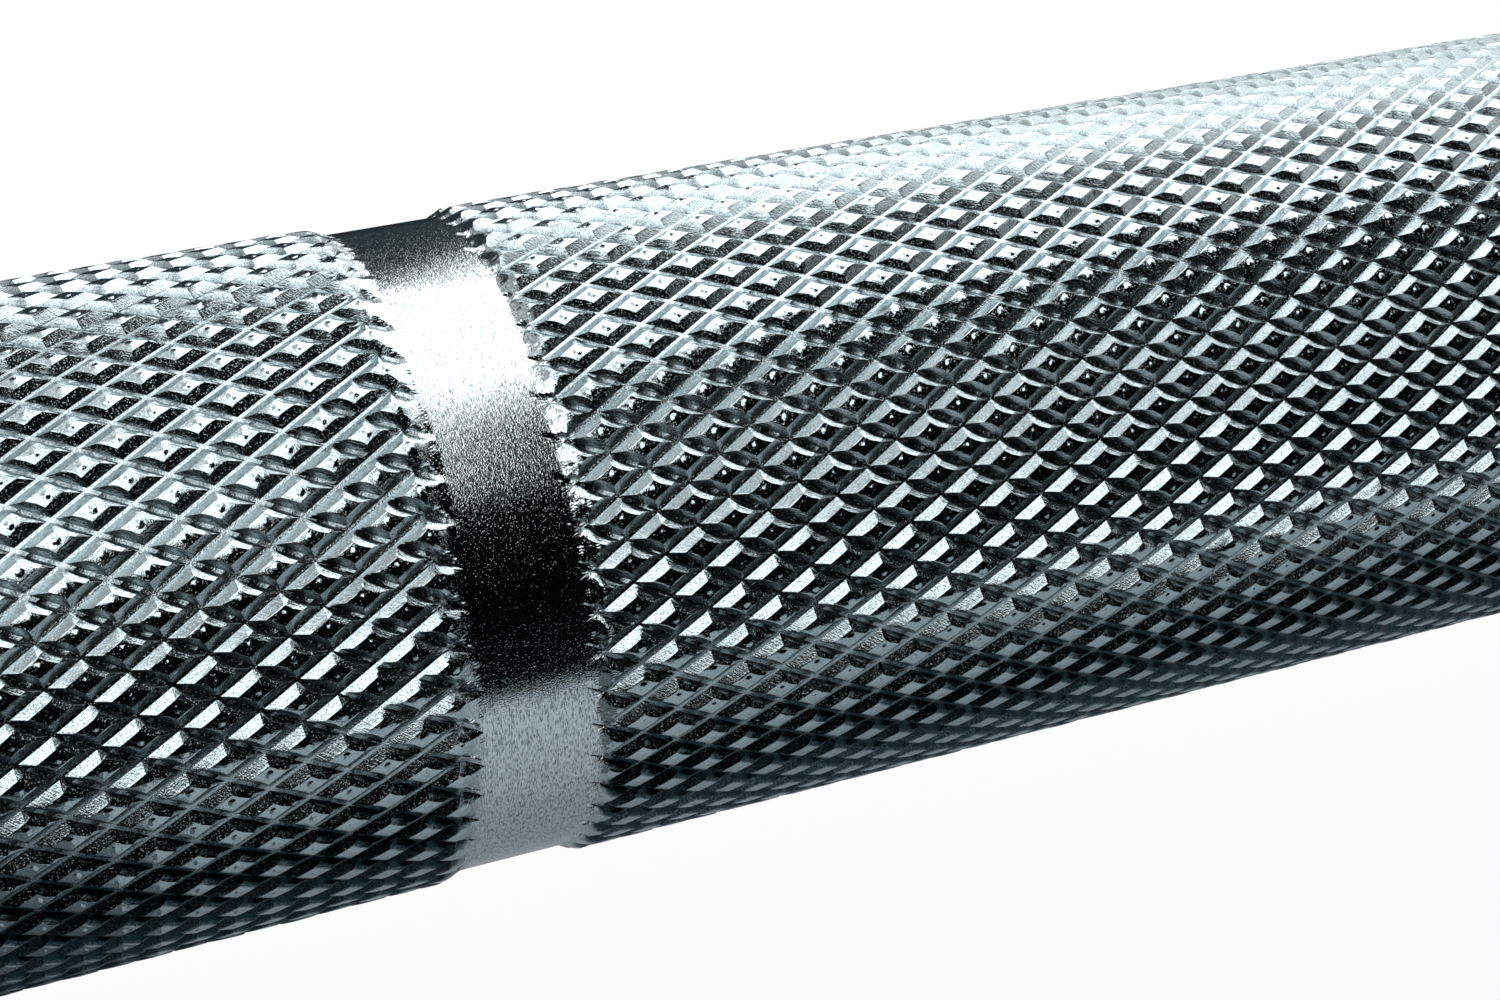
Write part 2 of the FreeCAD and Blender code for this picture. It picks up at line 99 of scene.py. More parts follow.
def makeKnurledChrome(look):
    # hard chrome over a rolled knurl: a mirror broken up by fine grain, so its highlights end in sparkle,
    # with dirt in the broken grooves and a small dimple in each pyramid's top
    finish, tree, shader, place = startFinish("hard chrome on rolled knurl", {"Metallic": 1.0})
    cell = addNode(tree, "ShaderNodeUVMap", uv_map="cell").outputs["UV"]
    rise = addNode(tree, "ShaderNodeAttribute", attribute_name="rise").outputs["Fac"]
    bare = addNode(tree, "ShaderNodeMath", {0: 1.0, 1: rise}, operation="SUBTRACT").outputs[0]

    # distance from the cell's middle in mm, roughened, gives the dimple
    stepAlong, stepAround = look["cellAlong"], look["cellAround"]
    part = addNode(tree, "ShaderNodeVectorMath", {0: cell}, operation="FRACTION").outputs[0]
    middle = addNode(tree, "ShaderNodeVectorMath", {0: part, 1: (0.5, 0.5, 0)}, operation="SUBTRACT").outputs[0]
    along = addNode(tree, "ShaderNodeVectorMath", {
        0: middle, 1: (stepAlong, stepAlong, 0)}, operation="DOT_PRODUCT")
    around = addNode(tree, "ShaderNodeVectorMath", {
        0: middle, 1: (stepAround, -stepAround, 0)}, operation="DOT_PRODUCT")
    flat = addNode(tree, "ShaderNodeCombineXYZ", {"X": along.outputs["Value"], "Y": around.outputs["Value"]})
    reach = addNode(tree, "ShaderNodeVectorMath", {0: flat.outputs[0]}, operation="LENGTH").outputs["Value"]
    wobble = addNode(tree, "ShaderNodeTexNoise", {
        "Vector": place, "Scale": 1 / (look["dimpleWobble"] * mm), "Detail": 1.0})
    ragged = addNode(tree, "ShaderNodeMath", {
        0: wobble.outputs["Fac"], 1: look["dimpleRag"], 2: reach}, operation="MULTIPLY_ADD")
    dimple = addNode(tree, "ShaderNodeMapRange", {
        "Value": ragged.outputs[0], "From Min": 0.5 * look["dimpleRag"],
        "From Max": look["dimpleWide"] + 0.5 * look["dimpleRag"], "To Min": 1.0, "To Max": 0.0},
        interpolation_type="SMOOTHSTEP")
    dimple = addNode(tree, "ShaderNodeMath", {
        0: dimple.outputs["Result"], 1: rise}, operation="MULTIPLY").outputs[0]

    # grain: blasted on the knurl, turned on the ring mark, dragged on the groove walls
    grain = addNode(tree, "ShaderNodeTexNoise", {
        "Vector": place, "Scale": 1 / (look["gritSize"] * mm), "Detail": 1.5, "Roughness": 0.6}).outputs["Fac"]
    drawnOut = addNode(tree, "ShaderNodeMapping", {"Vector": place, "Scale": (
        1 / (look["lineSize"] * mm), 1 / (look["lineLength"] * mm), 1 / (look["lineLength"] * mm))})
    lines = addNode(tree, "ShaderNodeTexNoise", {
        "Vector": drawnOut.outputs[0], "Scale": 1.0, "Detail": 2.0}).outputs["Fac"]
    dragged = addNode(tree, "ShaderNodeMapping", {
        "Vector": cell, "Scale": (look["cellSide"] / look["strokeSize"], look["strokesAlong"], 1)})
    strokes = addNode(tree, "ShaderNodeTexNoise", {"Vector": dragged.outputs[0], "Scale": 1.0, "Detail": 2.0})
    pitted = addNode(tree, "ShaderNodeTexNoise", {
        "Vector": place, "Scale": 1 / (look["pitSize"] * mm), "Detail": 0.0})
    pits = addNode(tree, "ShaderNodeMapRange", {
        "Value": pitted.outputs["Fac"], "From Min": look["pitEdges"][0], "From Max": look["pitEdges"][1]})
    patches = addNode(tree, "ShaderNodeTexNoise", {
        "Vector": place, "Scale": 1 / (look["patchSize"] * mm), "Detail": 2.0}).outputs["Fac"]

    # dirt: most in the broken grooves, some over the knurl's tops, a little in the ring mark's lines; with it,
    # painted shade on the groove walls under the axis
    offMiddle = addNode(tree, "ShaderNodeVectorMath", {0: middle}, operation="ABSOLUTE").outputs[0]
    across = addNode(tree, "ShaderNodeSeparateXYZ", {0: offMiddle}).outputs
    leaf = addNode(tree, "ShaderNodeMapRange", {
        "Value": across["X"], "From Min": look["leafEdges"][0], "From Max": look["leafEdges"][1]})
    within = addNode(tree, "ShaderNodeMapRange", {
        "Value": across["Y"], "From Min": look["leafEnds"][0], "From Max": look["leafEnds"][1],
        "To Min": look["grimeInLeaves"], "To Max": 0.0})
    leafDirt = addNode(tree, "ShaderNodeMath", {
        0: leaf.outputs["Result"], 1: within.outputs["Result"]}, operation="MULTIPLY")
    specks = addNode(tree, "ShaderNodeMapRange", {
        "Value": grain, "From Min": look["speckEdges"][0], "From Max": look["speckEdges"][1],
        "To Min": look["speckDirt"][0], "To Max": look["speckDirt"][1]}).outputs["Result"]
    outward = addNode(tree, "ShaderNodeMath", {0: across["X"], 1: across["Y"]}, operation="MAXIMUM")
    onWall = addNode(tree, "ShaderNodeMapRange", {
        "Value": outward.outputs[0], "From Min": look["wallEdges"][0], "From Max": look["wallEdges"][1]})
    onWall = addNode(tree, "ShaderNodeMath", {
        0: onWall.outputs["Result"], 1: rise}, operation="MULTIPLY").outputs[0]
    # painted shade: the groove walls darken from the axis downwards, added to the dirt in the leaves
    level = addNode(tree, "ShaderNodeSeparateXYZ", {0: place}).outputs["Z"]
    shadeUnderAxis = addNode(tree, "ShaderNodeMapRange", {
        "Value": level, "From Min": 0.0, "From Max": -look["paintedShadeDepth"] * mm,
        "To Min": 0.0, "To Max": look["paintedShadeBelow"]})
    wallShadeAndLeafDirt = addNode(tree, "ShaderNodeMath", {
        0: onWall, 1: shadeUnderAxis.outputs["Result"], 2: leafDirt.outputs[0]}, operation="MULTIPLY_ADD")
    knurlDirtAndShade = addNode(tree, "ShaderNodeMath", {
        0: specks, 1: look["grimeOnTops"], 2: wallShadeAndLeafDirt.outputs[0]}, operation="MULTIPLY_ADD")
    knurlDirtAndShade = addNode(tree, "ShaderNodeMath", {0: knurlDirtAndShade.outputs[0], 1: rise}, operation="MULTIPLY")
    streaks = addNode(tree, "ShaderNodeMapRange", {
        "Value": lines, "From Min": look["streakEdges"][0], "From Max": look["streakEdges"][1],
        "To Min": 1.0, "To Max": 0.0})
    lineDirt = addNode(tree, "ShaderNodeMath", {
        0: streaks.outputs["Result"], 1: look["grimeInLines"]}, operation="MULTIPLY")
    dirtAndShade = addNode(tree, "ShaderNodeMath", {
        0: lineDirt.outputs[0], 1: bare, 2: knurlDirtAndShade.outputs[0]}, operation="MULTIPLY_ADD", use_clamp=True)
    chrome = addNode(tree, "ShaderNodeMix", {
        "Factor": rise, "A": linearFromHex(look["markPlate"]), "B": linearFromHex(look["plate"])},
        data_type="RGBA")
    tint = addNode(tree, "ShaderNodeMix", {
        "Factor": dirtAndShade.outputs[0], "A": chrome.outputs["Result"], "B": linearFromHex(look["grimeAndShade"])},
        data_type="RGBA")
    tree.links.new(tint.outputs["Result"], shader.inputs["Base Color"])

    # heights in metres, added up one kind of grain at a time
    height = addNode(tree, "ShaderNodeMath", {0: dimple, 1: -look["dimpleDepth"] * mm}, operation="MULTIPLY")
    gritty = addNode(tree, "ShaderNodeMapRange", {
        "Value": rise, "To Min": look["gritOnMark"], "To Max": look["gritOnTops"]})
    gritty = addNode(tree, "ShaderNodeMath", {
        0: onWall, 1: 1 - look["gritOnTops"], 2: gritty.outputs["Result"]}, operation="MULTIPLY_ADD")
    gritty = addNode(tree, "ShaderNodeMath", {
        0: dimple, 1: look["gritInDimple"], 2: gritty.outputs[0]}, operation="MULTIPLY_ADD").outputs[0]
    fewer = addNode(tree, "ShaderNodeMath", {
        0: onWall, 1: 1 - look["pitsOnTops"], 2: look["pitsOnTops"]}, operation="MULTIPLY_ADD").outputs[0]
    for share, texture, size in (
            (gritty, grain, look["gritHeight"]), (bare, lines, look["lineHeight"]),
            (onWall, strokes.outputs["Fac"], look["strokeHeight"]),
            (fewer, pits.outputs["Result"], -look["pitDepth"])):
        part = addNode(tree, "ShaderNodeMath", {0: texture, 1: share}, operation="MULTIPLY")
        height = addNode(tree, "ShaderNodeMath", {
            0: part.outputs[0], 1: size * mm, 2: height.outputs[0]}, operation="MULTIPLY_ADD")
    bump = addNode(tree, "ShaderNodeBump", {"Height": height.outputs[0], "Distance": 1.0, "Strength": 1.0})
    tree.links.new(bump.outputs["Normal"], shader.inputs["Normal"])

    matt = addNode(tree, "ShaderNodeMapRange", {
        "Value": rise, "To Min": look["roughness"], "To Max": look["knurlRoughness"]})
    matt = addNode(tree, "ShaderNodeMath", {
        0: onWall, 1: look["wallRoughness"] - look["knurlRoughness"], 2: matt.outputs["Result"]},
        operation="MULTIPLY_ADD")
    matt = addNode(tree, "ShaderNodeMath", {
        0: dimple, 1: look["dimpleRoughness"], 2: matt.outputs[0]}, operation="MULTIPLY_ADD")
    matt = addNode(tree, "ShaderNodeMath", {
        0: patches, 1: look["patchRoughness"], 2: matt.outputs[0]}, operation="MULTIPLY_ADD")
    tree.links.new(matt.outputs[0], shader.inputs["Roughness"])
    return finish


# bright chrome over turned or polished steel: a mirror with faint rings round it, dulled where plates slide
# or hands rub
chromeLooks = {
    "bright chrome on turned shaft": dict(
        plate="#C4CCCF", roughness=0.10, ringSize=0.12, ringHeight=0.0010, rubs=0.10),
    "polished chrome on sleeve tube": dict(
        plate="#C9CED1", roughness=0.08, ringSize=0.20, ringHeight=0.0009, rubs=0.22),
    "polished chrome on faced collar": dict(
        plate="#C9CED1", roughness=0.06, ringSize=0.15, ringHeight=0.0006, rubs=0.12),
}
# plates drag along the bar, so the rub marks run that way; ringsAround counts changes of the rings in a metre
chromeWear = dict(
    ringsAround=90, rubLength=40, rubWidth=0.6, rubEdges=(0.55, 0.75), haze="#9FA6A9",
    cloudSize=25, cloudEdges=(0.3, 0.7), cloudRoughness=0.07)


def makeTurnedChrome(name, look):
    wear = chromeWear
    finish, tree, shader, place = startFinish(name, {"Metallic": 1.0})
    drawnOut = addNode(tree, "ShaderNodeMapping", {
        "Vector": place, "Scale": (1 / (look["ringSize"] * mm), wear["ringsAround"], wear["ringsAround"])})
    rings = addNode(tree, "ShaderNodeTexNoise", {
        "Vector": drawnOut.outputs[0], "Scale": 1.0, "Detail": 3.0}).outputs["Fac"]
    rubAlong, rubAcross = 1 / (wear["rubLength"] * mm), 1 / (wear["rubWidth"] * mm)
    dragged = addNode(tree, "ShaderNodeMapping", {"Vector": place, "Scale": (rubAlong, rubAcross, rubAcross)})
    scuffs = addNode(tree, "ShaderNodeTexNoise", {"Vector": dragged.outputs[0], "Scale": 1.0, "Detail": 2.0})
    worn = addNode(tree, "ShaderNodeMapRange", {
        "Value": scuffs.outputs["Fac"], "From Min": wear["rubEdges"][0],
        "From Max": wear["rubEdges"][1]}).outputs["Result"]
    clouds = addNode(tree, "ShaderNodeTexNoise", {
        "Vector": place, "Scale": 1 / (wear["cloudSize"] * mm), "Detail": 3.0}).outputs["Fac"]
    dull = addNode(tree, "ShaderNodeMapRange", {
        "Value": clouds, "From Min": wear["cloudEdges"][0], "From Max": wear["cloudEdges"][1],
        "To Min": look["roughness"], "To Max": look["roughness"] + wear["cloudRoughness"]})
    dull = addNode(tree, "ShaderNodeMath", {
        0: worn, 1: look["rubs"], 2: dull.outputs["Result"]}, operation="MULTIPLY_ADD")
    tree.links.new(dull.outputs[0], shader.inputs["Roughness"])
    haze = addNode(tree, "ShaderNodeMath", {0: worn, 1: clouds}, operation="MULTIPLY")
    tint = addNode(tree, "ShaderNodeMix", {
        "Factor": haze.outputs[0], "A": linearFromHex(look["plate"]), "B": linearFromHex(wear["haze"])},
        data_type="RGBA")
    tree.links.new(tint.outputs["Result"], shader.inputs["Base Color"])
    height = addNode(tree, "ShaderNodeMath", {0: rings, 1: look["ringHeight"] * mm}, operation="MULTIPLY")
    bump = addNode(tree, "ShaderNodeBump", {"Height": height.outputs[0], "Distance": 1.0, "Strength": 1.0})
    tree.links.new(bump.outputs["Normal"], shader.inputs["Normal"])
    return finish


# bare steels of the bearings: what the eye sees is the direction the tool went and the oil left on it.
# marks is the size of a tool mark along the bar and round it
steelLooks = {
    "drawn steel bearing cup": dict(
        metal="#A6A8A7", oil="#7C7466", roughness=0.26, marks=(3.0, 0.15), depth=0.0012),
    "ground bearing needle": dict(
        metal="#BCBFC0", oil="#8E8A80", roughness=0.14, marks=(0.06, 0.8), depth=0.0005),
    "pressed cage strip": dict(
        metal="#8F8B82", oil="#5B5346", roughness=0.38, marks=(0.5, 0.5), depth=0.003),
    "turned spacer tube": dict(
        metal="#9DA1A3", oil="#6F6A60", roughness=0.3, marks=(0.2, 6.0), depth=0.003),
}
oilFilm = dict(size=4, edges=(0.42, 0.68), markRoughness=0.12, filmRoughness=-0.05)


def makeBearingSteel(name, look):
    finish, tree, shader, place = startFinish(name, {"Metallic": 1.0})
    lengthwise, crosswise = look["marks"]
    drawnOut = addNode(tree, "ShaderNodeMapping", {"Vector": place, "Scale": (
        1 / (lengthwise * mm), 1 / (crosswise * mm), 1 / (crosswise * mm))})
    marks = addNode(tree, "ShaderNodeTexNoise", {
        "Vector": drawnOut.outputs[0], "Scale": 1.0, "Detail": 3.0}).outputs["Fac"]
    film = addNode(tree, "ShaderNodeTexNoise", {
        "Vector": place, "Scale": 1 / (oilFilm["size"] * mm), "Detail": 3.0})
    film = addNode(tree, "ShaderNodeMapRange", {
        "Value": film.outputs["Fac"], "From Min": oilFilm["edges"][0],
        "From Max": oilFilm["edges"][1]}).outputs["Result"]
    tint = addNode(tree, "ShaderNodeMix", {
        "Factor": film, "A": linearFromHex(look["metal"]), "B": linearFromHex(look["oil"])}, data_type="RGBA")
    tree.links.new(tint.outputs["Result"], shader.inputs["Base Color"])
    dull = addNode(tree, "ShaderNodeMath", {
        0: marks, 1: oilFilm["markRoughness"], 2: look["roughness"] - oilFilm["markRoughness"] / 2},
        operation="MULTIPLY_ADD")
    dull = addNode(tree, "ShaderNodeMath", {
        0: film, 1: oilFilm["filmRoughness"], 2: dull.outputs[0]}, operation="MULTIPLY_ADD")
    tree.links.new(dull.outputs[0], shader.inputs["Roughness"])
    height = addNode(tree, "ShaderNodeMath", {0: marks, 1: look["depth"] * mm}, operation="MULTIPLY")
    bump = addNode(tree, "ShaderNodeBump", {"Height": height.outputs[0], "Distance": 1.0, "Strength": 1.0})
    tree.links.new(bump.outputs["Normal"], shader.inputs["Normal"])
    return finish


# finishes that are speckled rather than drawn out: specks of the given size, in two colours
speckledLooks = {
    # pressed bronze powder filled with oil: warm satin metal with dark pores
    "oil-filled sintered bronze": dict(
        main="#B98F55", speck="#5E4425", size=0.18, edges=(0.58, 0.66), roughness=(0.34, 0.6),
        metallic=1.0, depth=-0.012),
    # spring steel in a manganese phosphate bath: charcoal with paler crystals, drawn at 0.12 mm so they show
    "phosphated spring steel": dict(
        main="#2A2B2D", speck="#4C4E50", size=0.12, edges=(0.5, 0.66), roughness=(0.46, 0.62),
        metallic=0.6, depth=0.004),
    # moulded nitrile: soft black with a faint grey bloom from the mould
    "moulded nitrile rubber": dict(
        main="#17181A", speck="#2B2C2E", size=0.5, edges=(0.45, 0.75), roughness=(0.52, 0.68),
        metallic=0.0, depth=0.006),
}
speckClouds = dict(size=6, edges=(0.3, 0.7), least=0.5)   # specks are fainter in patches of this size


def makeSpeckled(name, look):
    finish, tree, shader, place = startFinish(name, {"Metallic": look["metallic"]})
    grains = addNode(tree, "ShaderNodeTexNoise", {
        "Vector": place, "Scale": 1 / (look["size"] * mm), "Detail": 2.0})
    speck = addNode(tree, "ShaderNodeMapRange", {
        "Value": grains.outputs["Fac"], "From Min": look["edges"][0], "From Max": look["edges"][1]},
        interpolation_type="SMOOTHSTEP").outputs["Result"]
    clouds = addNode(tree, "ShaderNodeTexNoise", {
        "Vector": place, "Scale": 1 / (speckClouds["size"] * mm), "Detail": 3.0}).outputs["Fac"]
    share = addNode(tree, "ShaderNodeMapRange", {
        "Value": clouds, "From Min": speckClouds["edges"][0], "From Max": speckClouds["edges"][1],
        "To Min": speckClouds["least"], "To Max": 1.0})
    share = addNode(tree, "ShaderNodeMath", {
        0: share.outputs["Result"], 1: speck}, operation="MULTIPLY").outputs[0]
    tint = addNode(tree, "ShaderNodeMix", {
        "Factor": share, "A": linearFromHex(look["main"]), "B": linearFromHex(look["speck"])}, data_type="RGBA")
    tree.links.new(tint.outputs["Result"], shader.inputs["Base Color"])
    dull = addNode(tree, "ShaderNodeMapRange", {
        "Value": share, "To Min": look["roughness"][0], "To Max": look["roughness"][1]})
    tree.links.new(dull.outputs["Result"], shader.inputs["Roughness"])
    height = addNode(tree, "ShaderNodeMath", {0: speck, 1: look["depth"] * mm}, operation="MULTIPLY")
    bump = addNode(tree, "ShaderNodeBump", {"Height": height.outputs[0], "Distance": 1.0, "Strength": 1.0})
    tree.links.new(bump.outputs["Normal"], shader.inputs["Normal"])
    return finish


capLook = dict(
    metal="#B4B8BB", groove="#8D9194", roughness=0.3, feed=0.35, depth=0.004, grooveShare=0.55,
    stain=0.12, stainSize=5, stainRoughness=0.14)


def makeAnodisedCap(look):
    # aluminium faced on a lathe and clear anodised: pale grey satin with rings at the tool's feed
    finish, tree, shader, place = startFinish("clear anodised faced aluminium", {"Metallic": 1.0})
    split = addNode(tree, "ShaderNodeSeparateXYZ", {0: place})
    acrossOnly = addNode(tree, "ShaderNodeCombineXYZ", {"Y": split.outputs["Y"], "Z": split.outputs["Z"]})
    reach = addNode(tree, "ShaderNodeVectorMath", {
        0: acrossOnly.outputs[0]}, operation="LENGTH").outputs["Value"]
    turns = addNode(tree, "ShaderNodeMath", {
        0: reach, 1: 2 * math.pi / (look["feed"] * mm)}, operation="MULTIPLY")
    wave = addNode(tree, "ShaderNodeMath", {0: turns.outputs[0]}, operation="SINE").outputs[0]
    clouds = addNode(tree, "ShaderNodeTexNoise", {
        "Vector": place, "Scale": 1 / (look["stainSize"] * mm), "Detail": 4.0}).outputs["Fac"]
    share = addNode(tree, "ShaderNodeMapRange", {
        "Value": wave, "From Min": -1.0, "From Max": 1.0, "To Min": 0.0, "To Max": look["grooveShare"]})
    share = addNode(tree, "ShaderNodeMath", {
        0: clouds, 1: look["stain"], 2: share.outputs["Result"]}, operation="MULTIPLY_ADD")
    tint = addNode(tree, "ShaderNodeMix", {
        "Factor": share.outputs[0], "A": linearFromHex(look["metal"]), "B": linearFromHex(look["groove"])},
        data_type="RGBA")
    tree.links.new(tint.outputs["Result"], shader.inputs["Base Color"])
    dull = addNode(tree, "ShaderNodeMath", {
        0: clouds, 1: look["stainRoughness"], 2: look["roughness"] - look["stainRoughness"] / 2},
        operation="MULTIPLY_ADD")
    tree.links.new(dull.outputs[0], shader.inputs["Roughness"])
    height = addNode(tree, "ShaderNodeMath", {0: wave, 1: 0.5 * look["depth"] * mm}, operation="MULTIPLY")
    bump = addNode(tree, "ShaderNodeBump", {"Height": height.outputs[0], "Distance": 1.0, "Strength": 1.0})
    tree.links.new(bump.outputs["Normal"], shader.inputs["Normal"])
    return finish


knurledChrome = makeKnurledChrome(knurledChromeLook)
shaftChrome, sleeveChrome, collarChrome = [makeTurnedChrome(name, look) for name, look in chromeLooks.items()]
cupSteel, needleSteel, cageSteel, spacerSteel = [
    makeBearingSteel(name, look) for name, look in steelLooks.items()]
washerBronze, ringPhosphate, sealRubber = [makeSpeckled(name, look) for name, look in speckledLooks.items()]
capAluminium = makeAnodisedCap(capLook)
print("finishes:", len(bpy.data.materials))


def putPiece(name, points, triangles, finish, body, replaced, cells=None, rise=None, sharpFrom=28):
    # points and triangles go in as whole arrays; cells is a UV for each corner, rise a number for each point
    mesh = bpy.data.meshes.new(name)
    mesh.vertices.add(len(points))
    mesh.vertices.foreach_set("co", np.ascontiguousarray(points, dtype=np.float32).ravel())
    mesh.loops.add(triangles.size)
    mesh.loops.foreach_set("vertex_index", triangles.astype(np.int32).ravel())
    mesh.polygons.add(len(triangles))
    mesh.polygons.foreach_set("loop_start", np.arange(0, triangles.size, 3, dtype=np.int32))
    mesh.polygons.foreach_set("use_smooth", np.ones(len(triangles), dtype=bool))
    if cells is not None:
        mesh.uv_layers.new(name="cell").data.foreach_set("uv", cells.astype(np.float32).ravel())
    if rise is not None:
        mesh.attributes.new("rise", "FLOAT", "POINT").data.foreach_set("value", rise.astype(np.float32))
    mesh.update(calc_edges=True)
    mesh.validate()
    mesh.set_sharp_from_angle(angle=math.radians(sharpFrom))
    mesh.materials.append(finish)
    piece = bpy.data.objects.new(name, mesh)
    bpy.context.scene.collection.objects.link(piece)
    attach(piece, body)
    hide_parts(*replaced)
    print(name, len(triangles), "triangles")


gripKnurl = dict(
    bareRadius=14.0, crest=0.36, starts=51, rowSpacing=1.5175, nodeAngle=1.3, pitch=1.533,
    throughFloor=0.045, crossFloor=0.015,   # the die whose grooves run through, and the one whose are broken
    throughHalf=0.065, throughWall=0.39,    # half of a groove's flat floor, and how far its wall runs out
    crossHalf=0.11, crossWall=0.29, edgeRound=0.014, leaf=0.55,
    freeDepth=0.1,                          # a broken groove is deeper by this where nothing crosses it
    # a broken groove's upper wall eases off into the top over the wedge, which tapers along the groove
    wedgeHalf=0.06, wedge=0.24, wedgeSlope=0.6, wedgeTaper=(1.3, 0.6), wedgeMost=0.6,
    dome=0.055, domeMost=0.5, unevenness=0.006, tilt=0.014,
    seed=7, seedShift=1000,                 # the shift keeps seeds above 0, as row numbers start below it
    lineGap=0.004, wedgeGap=0.005,          # least gaps between a cell's grid lines
    sharpFrom=14, uvWrap=64,
    bands=[(-640, -457.65), (-452.35, -210), (-60, 60), (210, 452.35), (457.65, 640)],
    # from where to where the crests and the two sets of grooves ease in at a band's start, and out at its end
    crestEase=((-0.5, 0.3), (-1.0, 0.2)), throughEase=((-0.3, 0.3), (-1.3, -0.7)),
    crossEase=((-0.95, -0.2), (-0.25, 0.2)),
    markAt=455.0, nodeFromMark=2.54,        # ring mark's middle, and the first groove crossings from it
)


def easeBetween(value, low, high):
    # smooth step: 0 below low, 1 above high, 3q^2 - 2q^3 between
    share = np.clip((value - low) / (high - low), 0, 1)
    return share * share * (3 - 2 * share)


def bandShare(x, begin, end):
    # 1 inside a knurled band, easing in round its start and out round its end
    share = np.zeros_like(x)
    for first, last in gripKnurl["bands"]:
        started = easeBetween(x, first + begin[0], first + begin[1])
        share += started * (1 - easeBetween(x, last + end[0], last + end[1]))
    return share


def wedgeReach(t, swell, depth):
    # distance of the wedge's foot and head from the broken groove's middle, in mm: the wedge swells with the
    # leaf and narrows along t, and the steep wall takes what is left of the groove's depth
    k = gripKnurl
    wide, narrowing = k["wedgeTaper"]
    width = np.minimum(k["wedge"] * swell * (wide - narrowing * t), k["wedgeMost"] * depth / k["wedgeSlope"])
    steepness = (k["crest"] - k["crossFloor"]) / k["crossWall"]
    foot = k["wedgeHalf"] + (depth - width * k["wedgeSlope"]) / steepness
    return foot, foot + width


def cellKnots(cuts):
    # grid lines of one cell: groove middle, edge of its floor, both sides of the wall's top edge, middle of
    # the cell, then the same mirrored. The broken groove's wall follows sin(pi t) ^ leaf, so its lines s depend
    # on t, and its upper wall has the foot and head of the wedge in place of the two sides of an edge.
    # Each gap is split into cuts; with none there are only the wall tops.
    k = gripKnurl
    floorEdge, leafEdge = k["throughHalf"] / k["pitch"], k["crossHalf"] / k["pitch"]
    wallTop = floorEdge + k["throughWall"] / k["pitch"]
    if cuts:
        half = np.array([0, floorEdge, wallTop - k["edgeRound"], wallTop + k["edgeRound"], 0.5])
        lines = np.concatenate([half, 1 - half[-2::-1]])
    else:
        lines = np.array([0, wallTop, 1 - wallTop, 1])
    spots = np.linspace(0, len(lines) - 1, (len(lines) - 1) * max(cuts, 1) + 1)
    t = np.interp(spots, np.arange(len(lines)), lines)
    swell = np.sin(np.pi * np.clip(t, 0, 1)) ** k["leaf"]
    leafTop = leafEdge + k["crossWall"] / k["pitch"] * swell
    foot, head = wedgeReach(t, swell, (k["crest"] - k["crossFloor"]) * swell)
    if cuts:
        lower = np.stack([0 * t, 0 * t + leafEdge,
                          np.maximum(leafTop - k["edgeRound"], leafEdge + k["lineGap"]),
                          leafTop + k["edgeRound"], 0 * t + 0.5])
        upper = np.stack([0 * t, 0 * t + k["wedgeHalf"], np.maximum(foot, k["wedgeHalf"] + k["wedgeGap"]),
                          np.maximum(head, k["wedgeHalf"] + 2 * k["wedgeGap"])]) / k["pitch"]
        leafLines = np.concatenate([lower, 1 - upper[::-1]])
    else:
        leafLines = np.stack([0 * t, leafTop, 1 - head / k["pitch"], 0 * t + 1])
    weights = np.maximum(0, 1 - np.abs(spots[:, None] - np.arange(len(lines))[None, :]))
    return weights @ leafLines, t


